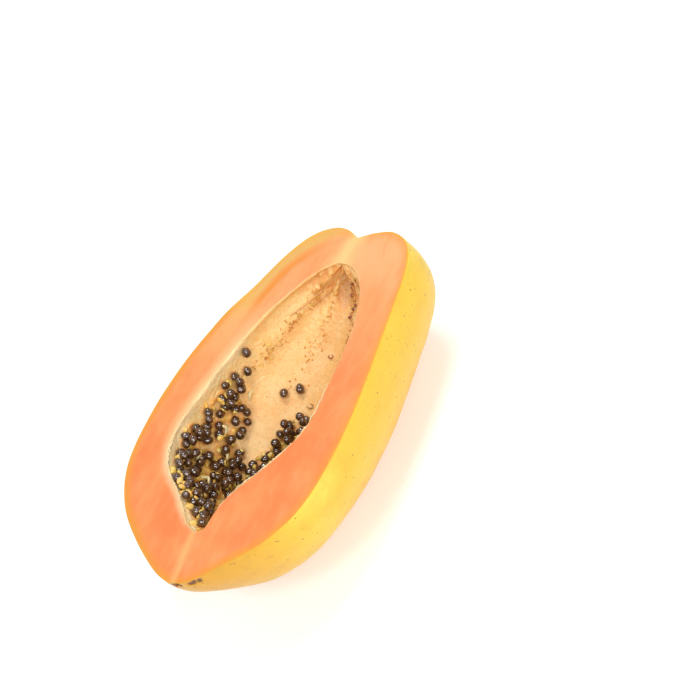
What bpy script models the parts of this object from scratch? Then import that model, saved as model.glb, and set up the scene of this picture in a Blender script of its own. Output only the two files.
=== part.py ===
"""A ripe papaya cut in half lengthways, and the seeds that lie in its hollow.

The half lies on its skin with the cut face up. Units are metres. +Y runs from the blossom
end to the stem end, +X across the cut face, and +Z points out of it. The origin is under
the middle of the half, where its small flat spot rests.

The shape is worked out in the fruit's own coordinates first: y is the distance from the
blossom tip along the fruit, and z = 0 is the cut face. A place on a wall is given by y and
by an angle around the fruit, 0 straight down and 90 degrees at the +X edge of the cut.
"""

import math
import random

import bmesh
import bpy
from mathutils import Vector

# Skin on the cut face: distance from the blossom tip, half width.
SKIN_OUTLINE = [
    (-0.0015, 0.0),
    (0.0035, 0.0145),
    (0.018, 0.035),
    (0.036, 0.0545),
    (0.060, 0.0675),
    (0.092, 0.0713),
    (0.125, 0.0690),
    (0.160, 0.0620),
    (0.200, 0.0515),
    (0.221, 0.0435),
    (0.2325, 0.0340),
    (0.2372, 0.0220),
    (0.2350, 0.0100),
    (0.2305, 0.0),
]
# Sideways place of the skin's middle, and how far the belly hangs below a round section.
SKIN_MIDDLE = [(0.0, 0.006), (0.024, 0.0005), (0.095, 0.0), (0.160, 0.0035), (0.237, 0.0135)]
SKIN_SAG = [(0.0, 0.26), (0.055, 0.10), (0.120, 0.18), (0.200, 0.34), (0.237, 0.46)]
RIB_COUNT = 5
RIB_HEIGHT = 0.012

# The hollow on the cut face, in the same terms.
HOLLOW_OUTLINE = [
    (0.031, 0.0),
    (0.035, 0.007),
    (0.050, 0.0165),
    (0.067, 0.031),
    (0.086, 0.0405),
    (0.106, 0.0438),
    (0.140, 0.040),
    (0.170, 0.0335),
    (0.192, 0.024),
    (0.205, 0.0145),
    (0.211, 0.006),
    (0.212, 0.0),
]
HOLLOW_MIDDLE = [
    (0.031, 0.005),
    (0.048, -0.003),
    (0.066, -0.0095),
    (0.090, -0.005),
    (0.110, 0.0),
    (0.150, 0.0045),
    (0.190, 0.0105),
    (0.212, 0.0115),
]
HOLLOW_SAG = [(0.031, 0.2), (0.212, 0.2)]

FLAT_SPOT_DEPTH = 0.0007
KNIFE_SIZE = 0.4

# Facets: around each body, and along it from end to end.
SKIN_FACETS = (64, 40)
HOLLOW_FACETS = (48, 32)
SEED_FACETS = (8, 6)

SEED_HALF_LENGTH = 0.0031
SEED_HALF_WIDTH = 0.0027
SEED_GAP = 0.0004
SEED_SIZE_SPREAD = 0.06
# Banks of seeds on the wall of the hollow: y, angle in degrees, half length, half angle, count.
SEED_BANKS = [
    (0.047, -32, 0.011, 24, 6),
    (0.070, -50, 0.015, 30, 11),
    (0.090, -55, 0.014, 25, 10),
    (0.112, -60, 0.013, 18, 8),
    (0.128, -70, 0.008, 8, 3),
    (0.080, -3, 0.014, 22, 6),
    (0.106, 6, 0.018, 27, 8),
    (0.126, -4, 0.008, 12, 3),
]
STRAY_SEEDS = [(0.141, -66), (0.149, -79), (0.141, -31), (0.147, -21)]
SEED_DRAW = 20
MOST_TRIES = 4000

SKIN_COLOUR = (0.92, 0.62, 0.10, 1.0)
SEED_COLOUR = (0.035, 0.022, 0.014, 1.0)


def spline(points, place):
    """The point at place, 0 to 1, on a smooth curve through the points."""
    points = [Vector(point) for point in points]
    first = 2 * points[0] - points[1]
    last = 2 * points[-1] - points[-2]
    points = [first] + points + [last]
    along = place * (len(points) - 3)
    span = min(int(along), len(points) - 4)
    t = along - span
    a, b, c, d = points[span : span + 4]
    bend = 2 * a - 5 * b + 4 * c - d
    twist = 3 * b - a - 3 * c + d
    return 0.5 * (2 * b + (c - a) * t + bend * t**2 + twist * t**3)


def smooth_value(points, y):
    """The value at y of a smooth curve through (y, value) points, level beyond its ends."""
    if y <= points[0][0]:
        return points[0][1]
    if y >= points[-1][0]:
        return points[-1][1]
    slopes = []
    for number in range(len(points)):
        before = points[max(number - 1, 0)]
        after = points[min(number + 1, len(points) - 1)]
        slopes.append((after[1] - before[1]) / (after[0] - before[0]))
    span = max(number for number in range(len(points) - 1) if points[number][0] <= y)
    (y0, value0), (y1, value1) = points[span : span + 2]
    width = y1 - y0
    t = (y - y0) / width
    start = (2 * t**3 - 3 * t**2 + 1) * value0 + (t**3 - 2 * t**2 + t) * width * slopes[span]
    end = (3 * t**2 - 2 * t**3) * value1 + (t**3 - t**2) * width * slopes[span + 1]
    return start + end


def wall_point(body, place, angle):
    """The point of a body's wall at place, 0 to 1 along its outline, and angle around it."""
    outline, middle, sag_points, ribs = body
    y, half_width = spline(outline, place)
    half_width = max(half_width, 0.0)
    sag = smooth_value(sag_points, y)
    down = math.cos(angle)
    reach = half_width * (sag * down + math.sqrt(1 + (sag * down) ** 2))
    reach *= 1 + ribs * math.cos(RIB_COUNT * angle)
    return Vector((smooth_value(middle, y) + reach * math.sin(angle), y, -reach * down))


SKIN = (SKIN_OUTLINE, SKIN_MIDDLE, SKIN_SAG, RIB_HEIGHT)
HOLLOW = (HOLLOW_OUTLINE, HOLLOW_MIDDLE, HOLLOW_SAG, 0.0)


def place_at(body, y):
    """The place, 0 to 1, where the body's outline passes y on its way up the fruit."""
    low, high = 0.0, 1.0
    for _ in range(40):
        place = (low + high) / 2
        if spline(body[0], place)[0] < y:
            low = place
        else:
            high = place
    return low


def wall_place(body, y, angle):
    """The point of the wall at y and angle, and the direction from it into the hollow."""
    step = 0.004
    place = place_at(body, y)
    point = wall_point(body, place, angle)
    along = wall_point(body, place + step, angle) - wall_point(body, place - step, angle)
    around = wall_point(body, place, angle + step) - wall_point(body, place, angle - step)
    inward = around.cross(along).normalized()
    if inward.dot(Vector((point.x - smooth_value(body[1], y), 0, point.z))) > 0:
        inward.negate()
    return point, inward


def collection(name):
    made = bpy.data.collections.new(name)
    bpy.context.scene.collection.children.link(made)
    return made


def material(name, colour, roughness, coat=0.0):
    made = bpy.data.materials.new(name)
    made.use_nodes = True
    made.diffuse_color = colour
    shader = made.node_tree.nodes["Principled BSDF"]
    shader.inputs["Base Color"].default_value = colour
    shader.inputs["Roughness"].default_value = roughness
    shader.inputs["Metallic"].default_value = 0.0
    shader.inputs["Coat Weight"].default_value = coat
    return made


def object_from(bm, name, where):
    mesh = bpy.data.meshes.new(name)
    bm.to_mesh(mesh)
    bm.free()
    made = bpy.data.objects.new(name, mesh)
    where.objects.link(made)
    return made


def swollen_body(body, facets, name, where):
    """A sphere whose poles are drawn out to the two ends of the body, and its rings to its wall."""
    bm = bmesh.new()
    bmesh.ops.create_uvsphere(bm, u_segments=facets[0], v_segments=facets[1], radius=1.0)
    half_facet = math.pi / facets[0]
    for vertex in bm.verts:
        place = math.acos(max(-1.0, min(1.0, -vertex.co.z))) / math.pi
        angle = math.atan2(vertex.co.y, vertex.co.x) + half_facet
        vertex.co = wall_point(body, place, angle)
    if bm.calc_volume(signed=True) < 0:
        bmesh.ops.reverse_faces(bm, faces=bm.faces)
    made = object_from(bm, name, where)
    made.data.shade_smooth()
    return made


def resting_spot(skin):
    """The point of the fruit's own coordinates that becomes the origin."""
    kept = [vertex.co for vertex in skin.data.vertices if vertex.co.z <= 0]
    middle_x = (min(co.x for co in kept) + max(co.x for co in kept)) / 2
    middle_y = (min(co.y for co in kept) + max(co.y for co in kept)) / 2
    lowest = min(co.z for co in kept)
    return Vector((middle_x, middle_y, lowest + FLAT_SPOT_DEPTH))


def cutter_box(name, centre_z, where):
    bm = bmesh.new()
    bmesh.ops.create_cube(bm, size=KNIFE_SIZE)
    made = object_from(bm, name, where)
    made.location.z = centre_z
    return made


def cut(target, cutter):
    cutter.hide_render = True
    cutter.display_type = "WIRE"
    modifier = target.modifiers.new("cut_" + cutter.name, "BOOLEAN")
    modifier.operation = "DIFFERENCE"
    modifier.solver = "EXACT"
    modifier.object = cutter


def make_half(parts, cutters):
    """The half fruit, and the point of its own coordinates that is at the origin."""
    half = swollen_body(SKIN, SKIN_FACETS, "papaya_half", parts)
    origin = resting_spot(half)
    half.location = -origin
    cut_height = -origin.z
    cut(half, cutter_box("knife", cut_height + KNIFE_SIZE / 2, cutters))
    hollow = swollen_body(HOLLOW, HOLLOW_FACETS, "hollow", cutters)
    hollow.location = -origin
    cut(half, hollow)
    cut(half, cutter_box("table", -KNIFE_SIZE / 2, cutters))
    half.data.materials.append(material("ripe_skin", SKIN_COLOUR, 0.45))
    return half, origin


def seed_centre(y, angle):
    wall, inward = wall_place(HOLLOW, y, angle)
    return wall + inward * (SEED_HALF_LENGTH * (1 + SEED_SIZE_SPREAD) + SEED_GAP)


def seed_centres():
    """Centres of the seeds on the wall, each clear of the ones before it."""
    draw = random.Random(SEED_DRAW)
    apart = 2 * SEED_HALF_LENGTH * (1 + SEED_SIZE_SPREAD) + SEED_GAP
    centres = [seed_centre(y, math.radians(angle)) for y, angle in STRAY_SEEDS]
    for y, angle, half_length, half_angle, count in SEED_BANKS:
        wanted = len(centres) + count
        for _ in range(MOST_TRIES):
            if len(centres) == wanted:
                break
            turn = draw.uniform(0, 2 * math.pi)
            out = math.sqrt(draw.uniform(0, 1))
            y_here = y + out * math.cos(turn) * half_length
            angle_here = math.radians(angle + out * math.sin(turn) * half_angle)
            centre = seed_centre(y_here, angle_here)
            if all((centre - other).length > apart for other in centres):
                centres.append(centre)
    return centres


def make_seeds(parts, origin):
    draw = random.Random(SEED_DRAW)
    bm = bmesh.new()
    bmesh.ops.create_uvsphere(bm, u_segments=SEED_FACETS[0], v_segments=SEED_FACETS[1], radius=1.0)
    for vertex in bm.verts:
        vertex.co = Vector(
            (
                vertex.co.x * SEED_HALF_WIDTH,
                vertex.co.y * SEED_HALF_WIDTH,
                vertex.co.z * SEED_HALF_LENGTH,
            )
        )
    mesh = bpy.data.meshes.new("seed")
    bm.to_mesh(mesh)
    bm.free()
    mesh.shade_smooth()
    mesh.materials.append(material("seed", SEED_COLOUR, 0.3, coat=0.6))
    for number, centre in enumerate(seed_centres(), start=1):
        seed = bpy.data.objects.new(f"seed_{number:02d}", mesh)
        seed.location = centre - origin
        seed.rotation_euler = (draw.uniform(0, math.pi), draw.uniform(0, math.pi), 0)
        size = 1 + draw.uniform(-SEED_SIZE_SPREAD, SEED_SIZE_SPREAD)
        seed.scale = (size, size, size)
        parts.objects.link(seed)


def main():
    for old in list(bpy.data.objects):
        bpy.data.objects.remove(old, do_unlink=True)
    parts = collection("papaya")
    cutters = collection("cutters")
    _, origin = make_half(parts, cutters)
    make_seeds(parts, origin)


main()
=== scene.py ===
"""A ripe papaya cut in half lengthways, with its seeds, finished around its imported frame.

The half is worked out in the fruit's own coordinates: y runs from the blossom tip to the
stem end, z = 0 is the cut face, and a place on a wall is y and an angle around the fruit,
0 straight down and 90 degrees at the +X edge of the cut. Lengths are in metres.
"""

import math
import random

import bmesh
import bpy
import numpy as np
from mathutils import Matrix, Vector, kdtree, noise
from mathutils.bvhtree import BVHTree


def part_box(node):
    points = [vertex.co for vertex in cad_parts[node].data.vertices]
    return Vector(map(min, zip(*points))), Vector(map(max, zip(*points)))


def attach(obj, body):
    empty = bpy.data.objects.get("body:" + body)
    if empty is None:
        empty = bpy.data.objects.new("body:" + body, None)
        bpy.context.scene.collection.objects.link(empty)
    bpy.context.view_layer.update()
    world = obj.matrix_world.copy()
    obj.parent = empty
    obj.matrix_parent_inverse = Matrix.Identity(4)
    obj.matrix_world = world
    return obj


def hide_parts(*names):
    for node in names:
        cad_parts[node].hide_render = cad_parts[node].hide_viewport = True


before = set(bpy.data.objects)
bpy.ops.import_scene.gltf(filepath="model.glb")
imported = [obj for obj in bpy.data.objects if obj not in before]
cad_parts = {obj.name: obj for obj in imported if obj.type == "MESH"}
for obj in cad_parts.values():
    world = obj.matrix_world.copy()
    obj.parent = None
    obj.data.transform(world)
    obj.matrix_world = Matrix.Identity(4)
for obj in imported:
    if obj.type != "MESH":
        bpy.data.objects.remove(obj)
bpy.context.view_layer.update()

MM = 0.001
# How brightly the studio lights a level white surface, against a full white.
STUDIO_LIGHT = 1.22
# How brightly a surface deep in the hollow is taken to be lit. Its colours are painted brighter to match, as painted
# light against the hollow's shade.
HOLLOW_LIGHT = 1.05

# ---------------- the fruit's outline

SKIN_OUTLINE = [
    (-0.0015, 0.0),
    (0.0035, 0.0145),
    (0.018, 0.035),
    (0.036, 0.0545),
    (0.060, 0.0675),
    (0.092, 0.0713),
    (0.125, 0.0690),
    (0.160, 0.0620),
    (0.200, 0.0515),
    (0.221, 0.0435),
    (0.2325, 0.0340),
    (0.2372, 0.0220),
    (0.2350, 0.0100),
    (0.2305, 0.0),
]
SKIN_MIDDLE = [(0.0, 0.006), (0.024, 0.0005), (0.095, 0.0), (0.160, 0.0035), (0.237, 0.0135)]
SKIN_SAG = [(0.0, 0.26), (0.055, 0.10), (0.120, 0.18), (0.200, 0.34), (0.237, 0.46)]
RIB_COUNT = 5
RIB_HEIGHT = 0.012
HOLLOW_OUTLINE = [
    (0.031, 0.0),
    (0.035, 0.007),
    (0.050, 0.0165),
    (0.067, 0.031),
    (0.086, 0.0405),
    (0.106, 0.0438),
    (0.140, 0.040),
    (0.170, 0.0335),
    (0.192, 0.024),
    (0.205, 0.0145),
    (0.211, 0.006),
    (0.212, 0.0),
]
HOLLOW_MIDDLE = [
    (0.031, 0.005),
    (0.048, -0.003),
    (0.066, -0.0095),
    (0.090, -0.005),
    (0.110, 0.0),
    (0.150, 0.0045),
    (0.190, 0.0105),
    (0.212, 0.0115),
]
HOLLOW_SAG = [(0.031, 0.2), (0.212, 0.2)]

# Steps of the fine mesh: along the fruit, and around each stretch of one ring.
ROWS = 300
SKIN_STEPS = 116
FACE_STEPS = 30
HOLLOW_STEPS = 134

# ---------------- what grows in the hollow

# Lines where seeds were borne: angle at the blossom end, angle at the stem end, in degrees.
SEED_LINES = [(-66, -60), (-30, -27), (4, 5), (38, 37), (70, 68)]
# Where those lines begin, and how long they run along the fruit.
LINE_START = 0.045
LINE_LENGTH = 0.162
# Degrees in a radian, and about how far the hollow's wall is from its middle.
DEGREES = 57.3
WALL_RADIUS = 0.034
# Banks of seeds on the wall: y, angle, half length, half angle, how many more.
SEED_BANKS = [
    (0.047, -32, 0.014, 42, 11),
    (0.070, -48, 0.017, 34, 17),
    (0.090, -54, 0.015, 28, 14),
    (0.062, -76, 0.014, 8, 7),
    (0.112, -60, 0.014, 18, 7),
    (0.126, -68, 0.010, 9, 3),
    (0.080, -12, 0.017, 13, 11),
    (0.101, -9, 0.015, 15, 14),
    (0.120, -8, 0.012, 12, 7),
    (0.104, 10, 0.022, 20, 10),
    (0.096, 52, 0.032, 24, 34),
    (0.062, 40, 0.014, 34, 9),
]
SEED_HALF_LENGTH = 3.2 * MM
SEED_HALF_WIDTH = 2.75 * MM
SEED_SHAPES = 7
# A seed's middle above what it lies on, and how near two touching seeds' middles come.
SEED_LIFT = 2.5 * MM
SEED_SPACING = (5.0 * MM, 5.35 * MM)
MOST_SETTLING = 1.5 * MM
LOOK_DOWN = 5 * MM
# How far below the cut seeds and pulp stay, and how many places are tried for each seed.
BELOW_CUT = 2.5 * MM
TRIES = 60
DRAW = random.Random(31)


def through(points, places):
    """Points at places, 0 to 1, on a smooth curve through the given ones."""
    points = np.array(points, float)
    points = np.vstack([2 * points[0] - points[1], points, 2 * points[-1] - points[-2]])
    spans = len(points) - 3
    along = np.clip(places, 0, 1) * spans
    span = np.minimum(along.astype(int), spans - 1)
    t = (along - span)[..., None]
    a, b, c, d = (points[span + step] for step in range(4))
    bend = 2 * a - 5 * b + 4 * c - d
    twist = 3 * b - a - 3 * c + d
    return 0.5 * (2 * b + (c - a) * t + bend * t**2 + twist * t**3)


def smooth_value(points, y):
    """Values at y of a smooth curve through (y, value) points, level beyond its ends."""
    at, value = np.array(points, float).T
    slope = (np.append(value[1:], value[-1]) - np.append(value[0], value[:-1])) / (
        np.append(at[1:], at[-1]) - np.append(at[0], at[:-1])
    )
    y = np.clip(y, at[0], at[-1])
    span = np.clip(np.searchsorted(at, y, side="right") - 1, 0, len(at) - 2)
    width = at[span + 1] - at[span]
    t = (y - at[span]) / width
    start = (2 * t**3 - 3 * t**2 + 1) * value[span] + (t**3 - 2 * t**2 + t) * width * slope[span]
    end = (3 * t**2 - 2 * t**3) * value[span + 1] + (t**3 - t**2) * width * slope[span + 1]
    return start + end


def even_places(outline, count):
    """Places evenly spaced by length along the outline."""
    fine = np.linspace(0, 1, 4000)
    points = through(outline, fine)
    length = np.append(0, np.cumsum(np.linalg.norm(np.diff(points, axis=0), axis=1)))
    return np.interp(np.linspace(0, length[-1], count), length, fine)


def wall(outline, middle, sag_points, ribs, places, angles):
    """Points of a body's wall, one row for each place and one column for each angle."""
    y, half_width = through(outline, places).T
    half_width = np.maximum(half_width, 0)[:, None]
    down = np.cos(angles)[None, :]
    sag = smooth_value(sag_points, y)[:, None] * down
    reach = half_width * (sag + np.sqrt(1 + sag**2))
    reach = reach * (1 + ribs * np.cos(RIB_COUNT * angles))[None, :]
    x = smooth_value(middle, y)[:, None] + reach * np.sin(angles)[None, :]
    return np.stack([x, y[:, None] + 0 * x, -reach * down], axis=-1)


def skin_wall(places, angles):
    return wall(SKIN_OUTLINE, SKIN_MIDDLE, SKIN_SAG, RIB_HEIGHT, places, angles)


def hollow_wall(places, angles):
    return wall(HOLLOW_OUTLINE, HOLLOW_MIDDLE, HOLLOW_SAG, 0.0, places, angles)


def grain(points, size, shift=0.0):
    """Soft noise, about -1 to 1, with features of this size."""
    flat = points.reshape(-1, 3) / size + shift
    return np.array([noise.noise(point) for point in flat]).reshape(points.shape[:-1])


def cells(points, size, shift=0.0):
    """Rounded bumps packed together: 1 at each middle, 0 between them."""
    flat = points.reshape(-1, 3) / size + shift
    values = [noise.voronoi(point)[0][0] for point in flat]
    return np.clip(1 - 1.25 * np.array(values), 0, 1).reshape(points.shape[:-1])


def step(low, high, value):
    """0 below low, 1 above high, eased between."""
    t = np.clip((value - low) / (high - low), 0, 1)
    return t * t * (3 - 2 * t)


def normals(points):
    """Unit normals of a grid of points."""
    across = np.cross(np.gradient(points, axis=0), np.gradient(points, axis=1))
    return across / np.maximum(np.linalg.norm(across, axis=-1, keepdims=True), 1e-12)


def pointing(vectors, towards):
    """The vectors, each turned round where it doesn't point towards."""
    return np.where((vectors * towards).sum(-1, keepdims=True) < 0, -vectors, vectors)


def crowded(count, crowding):
    """Values from -1 to 1, closer together near both ends."""
    t = np.linspace(-1, 1, count)
    return t * (1 + crowding) - crowding * t * np.abs(t)


def between(a, b, share):
    return a + (b - a) * share


def line_angle(low_angle, high_angle, y):
    """The angle, as far along the fruit as y, of a line that seeds grew on."""
    return between(low_angle, high_angle, (y - LINE_START) / LINE_LENGTH)


# ---------------- the half

STREAK = [(-0.038, 0.168), (-0.0335, 0.187), (-0.027, 0.204), (-0.015, 0.219), (-0.001, 0.2285)]
STEM_CORD = [(0.0100, 0.206), (0.0095, 0.218), (0.0125, 0.233)]
BLOSSOM_CORD = [(0.0078, 0.0), (0.0055, 0.017), (0.0042, 0.034)]
# Scars of the blossom and, last, of the stem: place, and how wide and deep in mm.
SCARS = [
    (0.0085, -0.001, -0.0015, 2.6),
    (0.0112, -0.0003, -0.0030, 1.7),
    (0.0180, 0.0026, -0.0022, 1.5),
    (0.0205, 0.0040, -0.0019, 1.8),
    (0.0230, 0.0059, -0.0022, 1.5),
    (0.0105, 0.2305, -0.0015, 2.2),
]


def beside_line(points, route):
    """Distance of each point to a route on the cut face, and which side of it, + towards -X."""
    route = through(route, np.linspace(0, 1, 20))
    best = np.full(points.shape[:-1], 9.0)
    side = np.zeros(points.shape[:-1])
    flat = points[..., :2]
    for start, end in zip(route[:-1], route[1:]):
        run = end - start
        length = np.linalg.norm(run)
        share = np.clip(((flat - start) @ run) / length**2, 0, 1)
        away = flat - (start + share[..., None] * run)
        far = np.linalg.norm(away, axis=-1)
        turn = (run[0] * away[..., 1] - run[1] * away[..., 0]) / length
        side = np.where(far < best, turn, side)
        best = np.minimum(best, far)
    return best, side


def face_height(points):
    """How far the knife's cut wanders from level, and how its left wing falls to the stem."""
    flat = points * np.array([1, 1, 0])
    wander = 0.35 * MM * grain(flat, 0.045, 3.1) + 0.06 * MM * grain(flat, 0.006, 7.7)
    far, side = beside_line(flat, STREAK)
    past = step(0, 14 * MM, side) * step(0.165, 0.195, flat[..., 1])
    groove = np.exp(-((side / (2.6 * MM)) ** 2)) * (far < 12 * MM) * step(0.172, 0.2, flat[..., 1])
    return wander - 3.0 * MM * past - 0.5 * MM * groove


def cords(points):
    """How much of each point lies on the pale cords to the stem and to the blossom."""
    wander = 1 + 0.35 * grain(points * np.array([1, 1, 0]), 7 * MM, 6.6)
    stem = np.exp(-((beside_line(points, STEM_CORD)[0] * wander / (6.8 * MM)) ** 2))
    blossom = np.exp(-((beside_line(points, BLOSSOM_CORD)[0] * wander / (2.4 * MM)) ** 2))
    return np.maximum(0.9 * stem, 0.4 * blossom)


def streaks(points):
    """The deep orange streak where the knife ran out of level on the left wing: painted shade of the step in the cut.
    """
    far, _ = beside_line(points, STREAK)
    wander = 1 + 0.4 * grain(points * np.array([1, 1, 0]), 9 * MM, 2.6)
    fade = step(0.162, 0.186, points[..., 1]) * (1 - 0.75 * step(0.206, 0.226, points[..., 1]))
    return np.exp(-((far * wander / (3.1 * MM)) ** 2)) * fade


def outer_wing(points):
    """The wing outside that streak, 1 where it lies."""
    far, side = beside_line(points, STREAK)
    return step(0.5 * MM, 6 * MM, side) * step(0.160, 0.185, points[..., 1]) * (far < 30 * MM)


def nodules(y, angle, radius):
    """Heights of the little stumps that seeds left along the lines they grew on."""
    draw = random.Random(5)
    height = np.zeros(y.shape)
    for low_angle, high_angle in SEED_LINES:
        place = LINE_START
        while place < LINE_START + LINE_LENGTH:
            place += draw.uniform(1.5, 2.9) * MM
            aside = draw.choice((-1, 1)) * draw.uniform(1.6, 3.6)
            middle = line_angle(low_angle, high_angle, place) + aside
            size = draw.uniform(0.55, 1.0)
            across = (angle - middle) * radius / DEGREES
            here = np.exp(-((y - place) ** 2 + across**2) / (size * MM) ** 2)
            height = np.maximum(height, here * size)
    return height


def hollow_relief(points, angles_deg, half_width):
    """How far the hollow's wall stands proud, and the masks of its stumps, pulp and pocket."""
    y = points[..., 1]
    angle = angles_deg[None, :] + 0 * y
    radius = half_width[:, None] + 0 * y
    depth = -points[..., 2]
    below_rim = step(0.4 * MM, 4 * MM, depth)
    broad = 0.7 * MM * grain(points, 0.018, 1.3)
    fine = 0.42 * MM * cells(points, 2.3 * MM, 4.2) + 0.22 * MM * grain(points, 1.6 * MM, 9.4)
    nearest = np.min([np.abs(angle - line_angle(low, high, y)) for low, high in SEED_LINES], axis=0)
    ridge = 1.5 * MM * np.cos(np.radians(nearest * 180 / 17)) * step(0.12, 0.185, y)
    stumps = nodules(y, angle, radius)
    stumps = stumps * step(0.03, 0.06, y) * (0.45 + 0.55 * step(0.15, 0.19, y))
    crowd = np.zeros(y.shape)
    for bank_y, bank_angle, half_length, half_angle, _ in SEED_BANKS:
        off = ((y - bank_y) / half_length) ** 2 + ((angle - bank_angle) / half_angle) ** 2
        crowd = np.maximum(crowd, 1 - step(0.45, 1.35, off))
    lumps = np.clip(grain(points, 5.0 * MM, 2.2) + 0.35, 0, 1) + 0.5 * cells(points, 3.6 * MM, 6.1)
    pulp = crowd * np.clip(lumps, 0, 1.3)
    across = (angle + 16) * radius / DEGREES
    pocket_off = ((y - 0.2035) / 8.5e-3) ** 2 + (across / 4.6e-3) ** 2
    pocket = 1 - step(0.30, 1.10, pocket_off)
    arch_off = np.sqrt(((y - 0.197) / 14e-3) ** 2 + (across / 10.5e-3) ** 2)
    lip = np.exp(-((arch_off - 1.0) / 0.085) ** 2) * step(0.186, 0.196, y)
    smooth = 1 - 0.85 * pocket
    proud = (broad + fine * smooth) + (ridge + 0.9 * MM * stumps) * smooth
    proud += 1.6 * MM * pulp * step(2.0 * MM, 7 * MM, depth) + 1.0 * MM * lip - 1.8 * MM * pocket
    return proud * below_rim, stumps, pulp, pocket


def round_rim(corner, outward, radius, along, on_face):
    """How far a point at a distance along from a square rim moves when the rim is rounded."""
    share = np.clip(along / radius, 0, 1)
    alpha = np.pi / 4 * np.where(on_face, 1 - share, 1 + share)
    up = np.array([0.0, 0.0, 1.0])
    radius = radius[..., None]
    middle = corner + radius * (outward - up)
    arc = middle + radius * (up * np.cos(alpha)[..., None] - outward * np.sin(alpha)[..., None])
    straight = corner + np.where(on_face, 1, 0)[..., None] * outward * along[..., None]
    straight = straight - np.where(on_face, 0, 1)[..., None] * up * along[..., None]
    inside = (along < radius[..., 0])[..., None]
    return np.where(inside, arc - straight, 0.0)


def rim_radius(corner, half_width):
    """The radius of the hollow's worn rim, widest on the left, which tapers away at its two ends."""
    wander = 1.0 * MM + 0.5 * MM * grain(corner, 0.011, 5.5)
    slack = (corner[:, 0] < 0) * step(0.07, 0.10, corner[:, 1]) * (1 - step(0.145, 0.185, corner[:, 1]))
    return np.clip(wander + 2.0 * MM * slack, 0.5 * MM, 4 * MM) * np.clip(half_width / (9 * MM), 0.08, 1)


def skin_zone(places, angles):
    """The skin: its points, with dents and scars, and its stain mask."""
    points = skin_wall(places, angles)
    out = pointing(normals(points), points - np.array([0.004, 0.11, -0.02]))
    ends = step(0, 0.03, places) * (1 - step(0.955, 1, places))
    edge = step(0.2 * MM, 5 * MM, -points[..., 2])
    relief = 0.7 * MM * grain(points, 0.034, 8.8) + 0.16 * MM * grain(points, 0.009, 2.9)
    points = points + out * (relief * edge * ends[:, None])[..., None]
    stain = np.zeros(points.shape[:-1])
    for x, y, z, size in SCARS:
        far = np.linalg.norm(points - np.array([x, y, z]), axis=-1) / (size * MM)
        rough = 0.5 * grain(points, 2.1 * MM, 4.4) + 0.25 * grain(points, 0.8 * MM, 1.4)
        pit = np.exp(-((far * (1 + rough)) ** 2))
        points = points - out * (pit * 0.55 * size * MM)[..., None]
        stain = np.maximum(stain, np.clip(1.5 * pit, 0, 1))
    return points, stain


def face_zone(skin_edge, rim, half_width, shares):
    """One side of the cut face, from the skin's edge to the hollow's rim."""
    corner = rim[:, None, :] + 0 * shares[None, :, None]
    points = between(skin_edge[:, None, :], corner, shares[None, :, None])
    run = skin_edge - rim
    width = np.linalg.norm(run, axis=-1)
    outward = (run / width[:, None])[:, None, :] + 0 * corner
    along = width[:, None] * (1 - shares[None, :])
    radius = rim_radius(rim, half_width)[:, None] + 0 * along
    moved = round_rim(corner, outward, radius, along, np.full(along.shape, True))
    return points + moved, along, width[:, None] * shares[None, :]


def hollow_zone(places, angles, rims, skin_edges, half_width):
    """The hollow's wall, with its rounded rim, and its masks."""
    points = hollow_wall(places, angles)
    lengths = np.linalg.norm(np.diff(points, axis=1), axis=-1)
    from_left = np.concatenate([np.zeros((len(places), 1)), np.cumsum(lengths, axis=1)], axis=1)
    along = np.minimum(from_left, from_left[:, -1:] - from_left)
    middle = len(angles) // 2
    on_left = (np.arange(len(angles)) < middle)[None, :, None]
    corner = np.where(on_left, rims[0][:, None, :], rims[1][:, None, :])
    run = np.where(on_left, (skin_edges[0] - rims[0])[:, None, :], (skin_edges[1] - rims[1])[:, None, :])
    outward = run / np.linalg.norm(run, axis=-1, keepdims=True)
    radii = [rim_radius(rim, half_width) for rim in rims]
    radius = np.where(on_left[..., 0], radii[0][:, None], radii[1][:, None])
    inward = pointing(normals(points), np.array([0.004, 0.12, -0.005]) - points)
    proud, stumps, pulp, pocket = hollow_relief(points, np.degrees(angles), half_width)
    ends = step(0, 0.03, places) * (1 - step(0.97, 1, places))
    rounded = round_rim(corner, outward, radius, along, np.full(along.shape, False))
    points = points + rounded + inward * (proud * ends[:, None])[..., None]
    return points, along, stumps, pulp, pocket


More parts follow.
